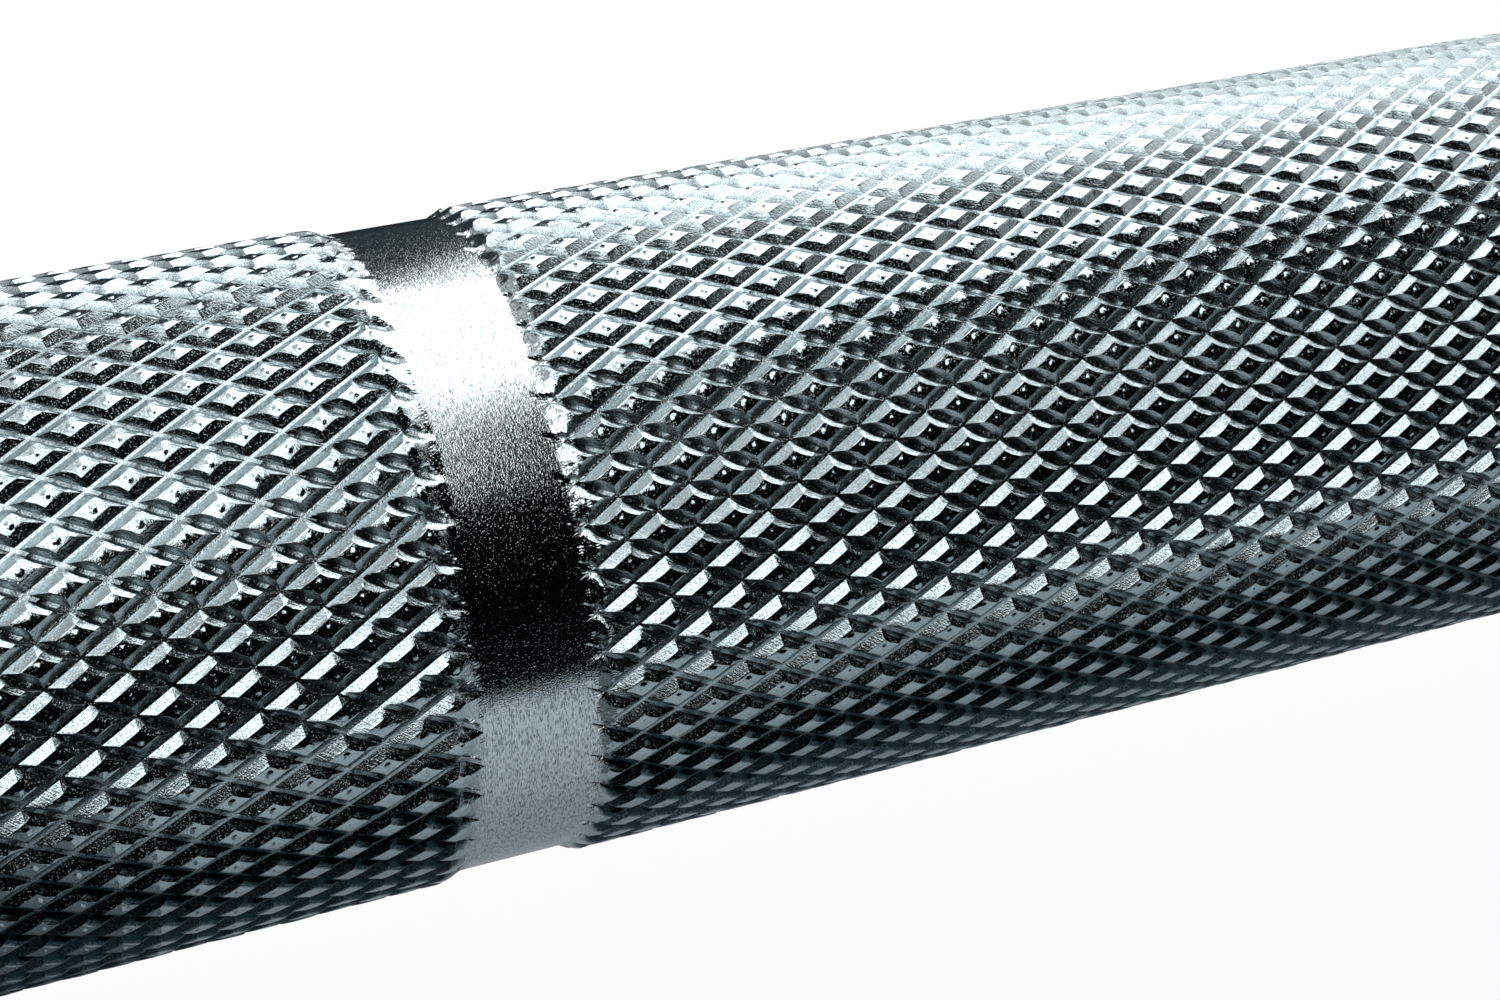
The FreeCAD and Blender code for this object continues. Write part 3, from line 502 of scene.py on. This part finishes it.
def knurlRows(name, firstNode, rows, cuts, clampTo):
    # Two sets of helical grooves cut the grip into rhombic cells. A point of a cell is (s, t), each from 0 to 1.
    # x = firstNode + (row + s + t) * rowSpacing, and angle = nodeAngle + (2 * column - row + s - t) * half a
    # pitch. Its radius is the least of the domed top and the walls that rise from the grooves at s = 0, 1 and
    # t = 0, 1.
    k = gripKnurl
    sKnots, tKnots = cellKnots(cuts)
    count = len(tKnots) - 1
    rowNumbers = np.arange(rows[0], rows[1] + 2)
    columns = np.arange(k["starts"])
    s, t, row, column = np.broadcast_arrays(
        sKnots[None, None, :count, :count], tKnots[None, None, None, :count],
        rowNumbers[:, None, None, None], columns[None, :, None, None])
    x = firstNode + (row + s + t) * k["rowSpacing"]
    angle = math.radians(k["nodeAngle"]) + (2 * column - row + s - t) * math.pi / k["starts"]

    rise = bandShare(x, *k["crestEase"])
    throughMask = bandShare(x, *k["throughEase"])
    crossMask = bandShare(x, *k["crossEase"])
    draws = np.random.default_rng(k["seed"] + rows[0] + k["seedShift"])
    uneven = draws.normal(0, 1, (3, len(rowNumbers), k["starts"], 1, 1))
    lean = (uneven[1] * (s - 0.5) + uneven[2] * (t - 0.5)) * 2 * (s > 0) * (t > 0)
    crown = (2 * s - 1) ** 2 + (2 * t - 1) ** 2
    top = rise * (k["crest"] + k["unevenness"] * uneven[0] + k["tilt"] * lean
                  - k["dome"] * np.minimum(crown, k["domeMost"]))
    lowerFrom, upperFrom = s * k["pitch"], (1 - s) * k["pitch"]
    throughFrom = np.minimum(t, 1 - t) * k["pitch"]
    # where nothing crosses it, a groove keeps its width
    leafAlong = 1 - throughMask * (1 - np.sin(np.pi * t) ** k["leaf"])
    crossDepth = np.maximum(top - k["crossFloor"] + k["freeDepth"] * (1 - throughMask), 0)
    crossDepth = crossDepth * leafAlong * crossMask
    throughDepth = (top - k["throughFloor"]) * throughMask
    crossSlope = (k["crest"] - k["crossFloor"]) / k["crossWall"]
    throughSlope = (k["crest"] - k["throughFloor"]) / k["throughWall"]
    lowerWall = top - crossDepth + np.maximum(lowerFrom - k["crossHalf"], 0) * crossSlope
    upperWall = top - crossDepth + np.maximum(upperFrom - k["wedgeHalf"], 0) * crossSlope
    head = wedgeReach(t, leafAlong * crossMask, crossDepth)[1]
    wedgeWall = top - np.minimum(np.maximum(head - upperFrom, 0) * k["wedgeSlope"], crossDepth)
    crossWall = np.minimum(np.where(s < 0.5, lowerWall, upperWall), wedgeWall)
    throughWall = top - throughDepth + np.maximum(throughFrom - k["throughHalf"], 0) * throughSlope
    radius = k["bareRadius"] + np.minimum(top, np.minimum(crossWall, throughWall))
    held = np.clip(x, *clampTo)
    points = np.stack([held, -radius * np.cos(angle), radius * np.sin(angle)], axis=-1).reshape(-1, 3) * mm

    # a cell's far corners belong to the next cells along
    numbers = np.arange(s.size).reshape(s.shape)
    turned = np.roll(numbers, -1, axis=1)
    grid = np.empty((len(rowNumbers) - 2, k["starts"], count + 1, count + 1), dtype=np.int64)
    grid[:, :, :count, :count] = numbers[:-2]
    grid[:, :, count, :count] = turned[1:-1, :, 0, :]
    grid[:, :, :count, count] = numbers[1:-1, :, :, 0]
    grid[:, :, count, count] = turned[2:, :, 0, 0]
    a, b, c, d = grid[:, :, :-1, :-1], grid[:, :, 1:, :-1], grid[:, :, 1:, 1:], grid[:, :, :-1, 1:]
    # the fold of each square runs from the nearest groove crossing towards the cell's middle
    low = np.arange(count) < count / 2 if cuts else np.array([True, False, False])
    slant = (low[:, None] == low[None, :])[None, None, :, :, None]
    first = np.where(slant, np.stack([a, b, c], -1), np.stack([a, b, d], -1))
    second = np.where(slant, np.stack([a, c, d], -1), np.stack([b, c, d], -1))
    triangles = np.concatenate([first.reshape(-1, 3), second.reshape(-1, 3)])
    uvGrid = np.stack([sKnots, np.repeat(tKnots[None, :], count + 1, axis=0)], axis=-1)
    ua, ub, uc, ud = uvGrid[:-1, :-1], uvGrid[1:, :-1], uvGrid[1:, 1:], uvGrid[:-1, 1:]
    uvSlant = slant[0, 0][..., None]
    uvFirst = np.where(uvSlant, np.stack([ua, ub, uc], -2), np.stack([ua, ub, ud], -2))
    uvSecond = np.where(uvSlant, np.stack([ua, uc, ud], -2), np.stack([ub, uc, ud], -2))
    cellPlace = np.stack(np.broadcast_arrays(
        columns[None, :], rowNumbers[:-2, None] - columns[None, :]), axis=-1)
    offsets = (cellPlace % k["uvWrap"])[:, :, None, None, None, :]
    cells = np.concatenate([
        (uvFirst[None, None] + offsets).reshape(-1, 3, 2), (uvSecond[None, None] + offsets).reshape(-1, 3, 2)])
    # squares squashed flat on a straight end go
    flatX = held.reshape(-1)[triangles]
    kept = ~((flatX <= clampTo[0]).all(axis=1) | (flatX >= clampTo[1]).all(axis=1))
    used, triangles = np.unique(triangles[kept], return_inverse=True)
    putPiece(
        name, points[used], triangles.reshape(-1, 3), knurledChrome, "shaft", ["shaft"],
        cells=cells[kept], rise=rise.reshape(-1)[used], sharpFrom=k["sharpFrom"])


leftNode = -gripKnurl["markAt"] + gripKnurl["nodeFromMark"]
rightNode = gripKnurl["markAt"] + gripKnurl["nodeFromMark"]
untrimmed = (-700, 700)
gripRows = {
    # piece: (first crossing, rows, cuts in each gap of a cell, ends that are trimmed straight).
    # A cell has 18 triangles with no cuts, 128 with one and 1152 with three, for close views of the ring mark
    "grip_knurl_left_outer": (leftNode, (-127, -22), 0, (-643, 0)),
    "grip_knurl_near_1": (leftNode, (-22, -7), 1, untrimmed),
    "grip_left_mark_1": (leftNode, (-7, -5), 3, untrimmed),
    "grip_left_mark_2": (leftNode, (-5, -3), 3, untrimmed),
    "grip_left_mark_3": (leftNode, (-3, -1), 3, untrimmed),
    "grip_left_mark_4": (leftNode, (-1, 1), 3, untrimmed),
    "grip_knurl_near_2": (leftNode, (1, 19), 1, untrimmed),
    "grip_knurl_near_3": (leftNode, (19, 37), 1, untrimmed),
    "grip_knurl_left_inner": (leftNode, (37, 164), 0, (-700, -207)),
    "grip_knurl_centre": (-60.1, (-4, 83), 0, (-63, 63)),
    "grip_knurl_right_inner": (rightNode, (-167, -7), 0, (207, 700)),
    "grip_right_mark": (rightNode, (-7, 1), 1, untrimmed),
    "grip_knurl_right_outer": (rightNode, (1, 124), 0, (0, 643)),
}
for name, settings in gripRows.items():
    knurlRows(name, *settings)
print("grip knurled")

# how far beside an arc its holding points sit: a share of its radius, but at most a share of the run
cornerArc = dict(points=7, holdShare=0.4, holdMost=0.2)


def roundedProfile(corners):
    # corners are (x, r, rounding); each rounded corner becomes an arc tangent to both runs, with a point held
    # close on either side of it so that the flats stay flat
    corners = np.array(corners, dtype=float)
    pieces = []
    for before, here, after in zip(np.roll(corners, 1, axis=0), corners, np.roll(corners, -1, axis=0)):
        size = here[2]
        if size == 0:
            pieces.append(here[None, :2])
            continue
        toBefore, toAfter = before[:2] - here[:2], after[:2] - here[:2]
        lengthBefore, lengthAfter = np.linalg.norm(toBefore), np.linalg.norm(toAfter)
        toBefore, toAfter = toBefore / lengthBefore, toAfter / lengthAfter
        turn = math.pi - math.acos(np.clip(toBefore @ toAfter, -1, 1))
        setback = size * math.tan(turn / 2)
        inward = (toBefore + toAfter) / np.linalg.norm(toBefore + toAfter)
        centre = here[:2] + inward * size / math.cos(turn / 2)
        sweep = np.linspace(-turn / 2, turn / 2, cornerArc["points"])[:, None]
        across = np.array([-inward[1], inward[0]])
        across = across if across @ toAfter > 0 else -across
        arc = centre + size * (-inward * np.cos(sweep) + across * np.sin(sweep))
        hold = min(cornerArc["holdShare"] * size, cornerArc["holdMost"] * lengthBefore,
                   cornerArc["holdMost"] * lengthAfter)
        pieces.append(np.vstack([
            here[:2] + toBefore * (setback + hold), arc, here[:2] + toAfter * (setback + hold)]))
    return np.vstack(pieces)


def turnedSkin(name, corners, finish, body, replaced, flip=1, base=0.0, segments=192):
    # a closed profile of (x, r) points carried round the bar's axis: (x, -r cos q, r sin q), q over a full turn
    profile = roundedProfile(corners)
    x = (base + flip * profile[:, 0])[:, None]
    radius = profile[:, 1][:, None]
    turn = np.linspace(0, 2 * math.pi, segments, endpoint=False)[None, :]
    points = np.stack(np.broadcast_arrays(x + 0 * turn, -radius * np.cos(turn), radius * np.sin(turn)), axis=-1)
    numbers = np.arange(points.shape[0] * segments).reshape(-1, segments)
    poles = profile[:, 1] <= 0
    numbers[poles] = numbers[poles][:, :1]      # a point on the axis is one vertex
    a, b = numbers, np.roll(numbers, -1, axis=0)
    c, d = np.roll(b, -1, axis=1), np.roll(a, -1, axis=1)
    triangles = np.concatenate([np.stack([a, b, c], -1).reshape(-1, 3), np.stack([a, c, d], -1).reshape(-1, 3)])
    distinct = (triangles != np.roll(triangles, 1, axis=1)).all(axis=1)
    triangles = triangles[distinct]
    # a profile that runs clockwise in (x, r) faces outwards, so the other way is turned over
    ahead = np.roll(profile, -1, axis=0)
    area = np.sum(profile[:, 0] * ahead[:, 1] - ahead[:, 0] * profile[:, 1]) * flip
    triangles = triangles[:, ::-1] if area > 0 else triangles
    used, triangles = np.unique(triangles, return_inverse=True)
    putPiece(
        name, points.reshape(-1, 3)[used] * mm, triangles.reshape(-1, 3), finish, body, replaced)


# profiles as (distance along, radius, rounding), for the right-hand side and mirrored for the left
bareShaft = dict(corners=[(62.9, 13.0, 0), (62.9, 14.0, 0), (207.1, 14.0, 0), (207.1, 13.0, 0)])
shaftEnd = dict(corners=[
    (642.9, 0.0, 0), (642.9, 14.0, 0), (667.3, 14.0, 0.3), (667.3, 12.5, 0), (1082.35, 12.5, 0.1),
    (1082.35, 11.9, 0), (1083.65, 11.9, 0), (1083.65, 12.5, 0.1), (1085.15, 12.5, 0.3), (1086.65, 11.0, 0.3),
    (1086.65, 0.0, 0)])
# from here on distances run outwards from the sleeve's inner face
sleeveTube = dict(corners=[
    (0, 27, 0.2), (4, 27, 0), (4, 25.5, 0), (30, 25.5, 0), (30, 25, 0.1), (443, 25, 0.8), (445, 23, 0.5),
    (445, 21, 0.3), (443.5, 21, 0), (443.5, 22.2, 0), (441.65, 22.2, 0), (441.65, 21, 0), (436.65, 21, 0),
    (436.65, 16, 0.2), (12, 16, 0), (12, 14.5, 0.2), (6, 14.5, 0), (6, 19, 0), (0, 19, 0.3)])
sleeveCollar = dict(corners=[
    (0, 27, 0.2), (0, 39, 3), (30, 39, 3), (30, 26, 0.15), (29.5, 25.5, 0), (4, 25.5, 0), (4, 27, 0)])
endCap = dict(corners=[
    (436.65, 0, 0), (436.65, 20.95, 0.3), (441.65, 20.95, 0.3), (441.65, 15.75, 0.4), (440.85, 14.95, 0.4),
    (440.85, 0, 0)])

for side, flip in sides.items():
    assembly = f"{side}_sleeve_assembly"
    start = flip * sleeveStart
    for name, piece in ((f"shaft_bare_{side}", bareShaft), (f"shaft_end_{side}", shaftEnd)):
        turnedSkin(name, piece["corners"], shaftChrome, "shaft", ["shaft"], flip)
    for name, piece, finish, replaced, slotName in (
            (f"{side}_sleeve_tube", sleeveTube, sleeveChrome, f"{side}_sleeve", "sleeve_chrome"),
            (f"{side}_collar_ring", sleeveCollar, collarChrome, f"{side}_collar", "collar_chrome"),
            (f"{side}_cap_disc", endCap, capAluminium, f"{side}_end_cap", "cap_aluminium")):
        turnedSkin(name, piece["corners"], finish, assembly, [replaced], flip, start)
print("turned pieces done")

# the frame's own solids that stay: seals, washers, bearings and snap rings
keptFinishes = {
    "dust_seal": sealRubber, "thrust_washer": washerBronze, "bearing_cup": cupSteel, "bearing_cage": cageSteel,
    "bearing_needles": needleSteel, "bearing_spacer": spacerSteel, "snap_ring": ringPhosphate,
}
for name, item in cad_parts.items():
    for ending, finish in keptFinishes.items():
        if ending in name:
            for materialSlot in item.material_slots:
                materialSlot.material = finish
print("bearing finishes set")


def putStage(name, points, faces, finish):
    mesh = bpy.data.meshes.new(name)
    mesh.from_pydata(points, [], faces)
    mesh.materials.append(finish)
    item = bpy.data.objects.new(name, mesh)
    bpy.context.scene.collection.objects.link(item)
    return item


# height in millimetres, edges and size in metres
paperFloor = dict(colour="#F4F4F4", height=-39.0, glow=0.9, nearEdge=0.2, farEdge=2.5, halfSize=30.0)


def seenDirectly(tree):
    # 1 for rays from the camera, from a mirror or through glass, 0 for the rest
    rays = addNode(tree, "ShaderNodeLightPath")
    seen = addNode(tree, "ShaderNodeMath", {
        0: rays.outputs["Is Camera Ray"], 1: rays.outputs["Is Glossy Ray"]}, operation="MAXIMUM")
    seen = addNode(tree, "ShaderNodeMath", {
        0: seen.outputs[0], 1: rays.outputs["Is Transmission Ray"]}, operation="MAXIMUM")
    return seen.outputs[0]


def makeFloorPaper(look):
    # white paper: shows the soft shadow beside the bar and goes to plain white further off
    finish = bpy.data.materials.new("white paper sweep")
    finish.use_nodes = True
    tree = finish.node_tree
    tree.nodes.clear()
    paper = addNode(tree, "ShaderNodeBsdfDiffuse", {"Color": linearFromHex(look["colour"])})
    white = addNode(tree, "ShaderNodeEmission", {"Color": (1, 1, 1, 1), "Strength": 1.0})
    place = addNode(tree, "ShaderNodeTexCoord").outputs["Object"]
    split = addNode(tree, "ShaderNodeSeparateXYZ", {0: place})
    away = addNode(tree, "ShaderNodeMath", {0: split.outputs["Y"]}, operation="ABSOLUTE")
    glow = addNode(tree, "ShaderNodeMapRange", {
        "Value": away.outputs[0], "From Min": look["nearEdge"], "From Max": look["farEdge"],
        "To Min": look["glow"], "To Max": 1.0}, interpolation_type="SMOOTHSTEP")
    share = addNode(tree, "ShaderNodeMath", {
        0: seenDirectly(tree), 1: glow.outputs["Result"]}, operation="MULTIPLY")
    both = addNode(tree, "ShaderNodeMixShader", {0: share.outputs[0], 1: paper.outputs[0], 2: white.outputs[0]})
    addNode(tree, "ShaderNodeOutputMaterial", {"Surface": both.outputs[0]})
    return finish


size, level = paperFloor["halfSize"], paperFloor["height"] * mm
putStage("floor", [(-size, -size, level), (size, -size, level), (size, size, level), (-size, size, level)],
         [(0, 1, 2, 3)], makeFloorPaper(paperFloor))

# felt flags round the bar that only the metal mirrors: outline in (y, z), drawn out along the bar between the
# ends. Those on the floor behind and under the bar stop just past its ends, so that the caps mirror white paper
flagEnd, floorFlagEnd = 1.95, 1.12
onFloor, onFlags = -0.0386, -0.0384     # two of the cards overlap a flag and lie on it
flags = {
    "front_flag_left": dict(
        colour="#070808", ends=(-flagEnd, -0.6), outline=[(-0.072, onFloor), (-0.34, onFloor), (-0.34, 0.33)]),
    "front_flag": dict(
        colour="#070808", ends=(-0.6, flagEnd), outline=[(-0.072, onFloor), (-0.34, onFloor), (-0.34, 0.23)]),
    "ceiling_flag": dict(
        colour="#070808", ends=(-2.2, 2.2), outline=[(-2.0, 0.92), (0.96, 0.92)]),
    "back_flag": dict(
        colour="#3C4549", ends=(-flagEnd, -0.3), outline=[(0.42, 0.45), (0.42, onFloor)]),
    "back_floor_flag": dict(
        colour="#262C2F", ends=(-floorFlagEnd, floorFlagEnd), outline=[(0.42, onFloor), (0.1, onFloor)]),
    "under_flag": dict(
        colour="#1C2224", ends=(-floorFlagEnd, floorFlagEnd), outline=[(0.1, onFloor), (0.006, onFloor)]),
    "under_card_left": dict(
        colour="#687074", ends=(-floorFlagEnd, -0.468), outline=[(0.006, onFloor), (-0.09, onFloor)]),
    "under_card": dict(
        colour="#B2BABF", ends=(-0.468, -0.433), outline=[(0.022, onFlags), (-0.09, onFlags)]),
    "under_card_right": dict(
        colour="#AAB4B9", ends=(-0.433, floorFlagEnd), outline=[(0.03, onFlags), (-0.09, onFlags)]),
}
for name, flag in flags.items():
    felt = bpy.data.materials.new(name.replace("_", " ") + " felt")
    felt.use_nodes = True
    felt.node_tree.nodes.clear()
    matt = addNode(felt.node_tree, "ShaderNodeBsdfDiffuse", {"Color": linearFromHex(flag["colour"])})
    addNode(felt.node_tree, "ShaderNodeOutputMaterial", {"Surface": matt.outputs[0]})
    outline = flag["outline"]
    points = [(x, y, z) for y, z in outline for x in flag["ends"]]
    faces = [(2 * n, 2 * n + 1, 2 * n + 3, 2 * n + 2) for n in range(len(outline) - 1)]
    item = putStage(name, points, faces, felt)
    item.visible_camera = item.visible_shadow = item.visible_diffuse = item.visible_transmission = False
print("floor and flags placed")

# overhead softboxes, as plan rectangles (x from, x to, y from, y to) at one height, with their brightness
softboxes = dict(height=0.9, boxes={
    "overhead": ((-0.35, 0.05, -0.12, 0.8), 2.6),
    "overhead_front": ((-0.35, -0.08, -0.2, -0.12), 1.5),
    "overhead_middle": ((0.05, 0.7, 0.0, 0.8), 2.6),
    "overhead_right": ((0.7, 1.8, 0.0, 0.95), 1.8),
    "overhead_right_front": ((0.4, 1.3, -0.22, 0.0), 0.8),
    "overhead_back": ((-0.1, 1.0, 0.8, 2.4), 1.9),
    "far_left": ((-1.8, -0.62, -0.06, 0.8), 0.6),
    "near_left": ((-0.62, -0.35, -0.06, 0.8), 0.95),
    "far_left_rim": ((-1.8, -0.7, -0.2, -0.06), 2.0),
    "far_left_edge": ((-0.7, -0.35, -0.2, -0.06), 1.2),
    "front_left": ((-1.9, -0.26, -0.95, -0.2), 2.2),
    "front_left_rim": ((-0.26, -0.19, -0.34, -0.2), 1.1),
    "front_left_low": ((-0.75, -0.4, -1.4, -0.95), 2.2),
})
for name, ((left, right, front, back), brightness) in softboxes["boxes"].items():
    lamp = bpy.data.lights.new(name, "AREA")
    lamp.shape = "RECTANGLE"
    lamp.size, lamp.size_y = right - left, back - front
    lamp.energy = brightness * math.pi * lamp.size * lamp.size_y
    item = bpy.data.objects.new(name, lamp)
    bpy.context.scene.collection.objects.link(item)
    item.location = ((left + right) / 2, (front + back) / 2, softboxes["height"])
    item.visible_camera = False

studio = dict(fill=0.15, white=1.0)
world = bpy.data.worlds.new("white studio")
bpy.context.scene.world = world
world.use_nodes = True
tree = world.node_tree
tree.nodes.clear()
strength = addNode(tree, "ShaderNodeMapRange", {
    "Value": seenDirectly(tree), "To Min": studio["fill"], "To Max": studio["white"]})
back = addNode(tree, "ShaderNodeBackground", {"Color": (1, 1, 1, 1), "Strength": strength.outputs["Result"]})
addNode(tree, "ShaderNodeOutputWorld", {"Surface": back.outputs[0]})

cameraLook = dict(
    place=(-0.481033, -0.095892, 0.059243), pitch=30.0998, yaw=23.0334, lens=63.05, sensor=36, nearest=0.005)
camera = bpy.data.objects.new("camera", bpy.data.cameras.new("camera"))
bpy.context.scene.collection.objects.link(camera)
camera.data.lens = cameraLook["lens"]
camera.data.sensor_width = cameraLook["sensor"]
camera.data.clip_start = cameraLook["nearest"]
camera.location = cameraLook["place"]
camera.rotation_euler = (math.radians(90 - cameraLook["pitch"]), 0, math.radians(-cameraLook["yaw"]))
bpy.context.scene.camera = camera
bpy.context.scene.view_settings.view_transform = "Standard"
print("lights and camera set")
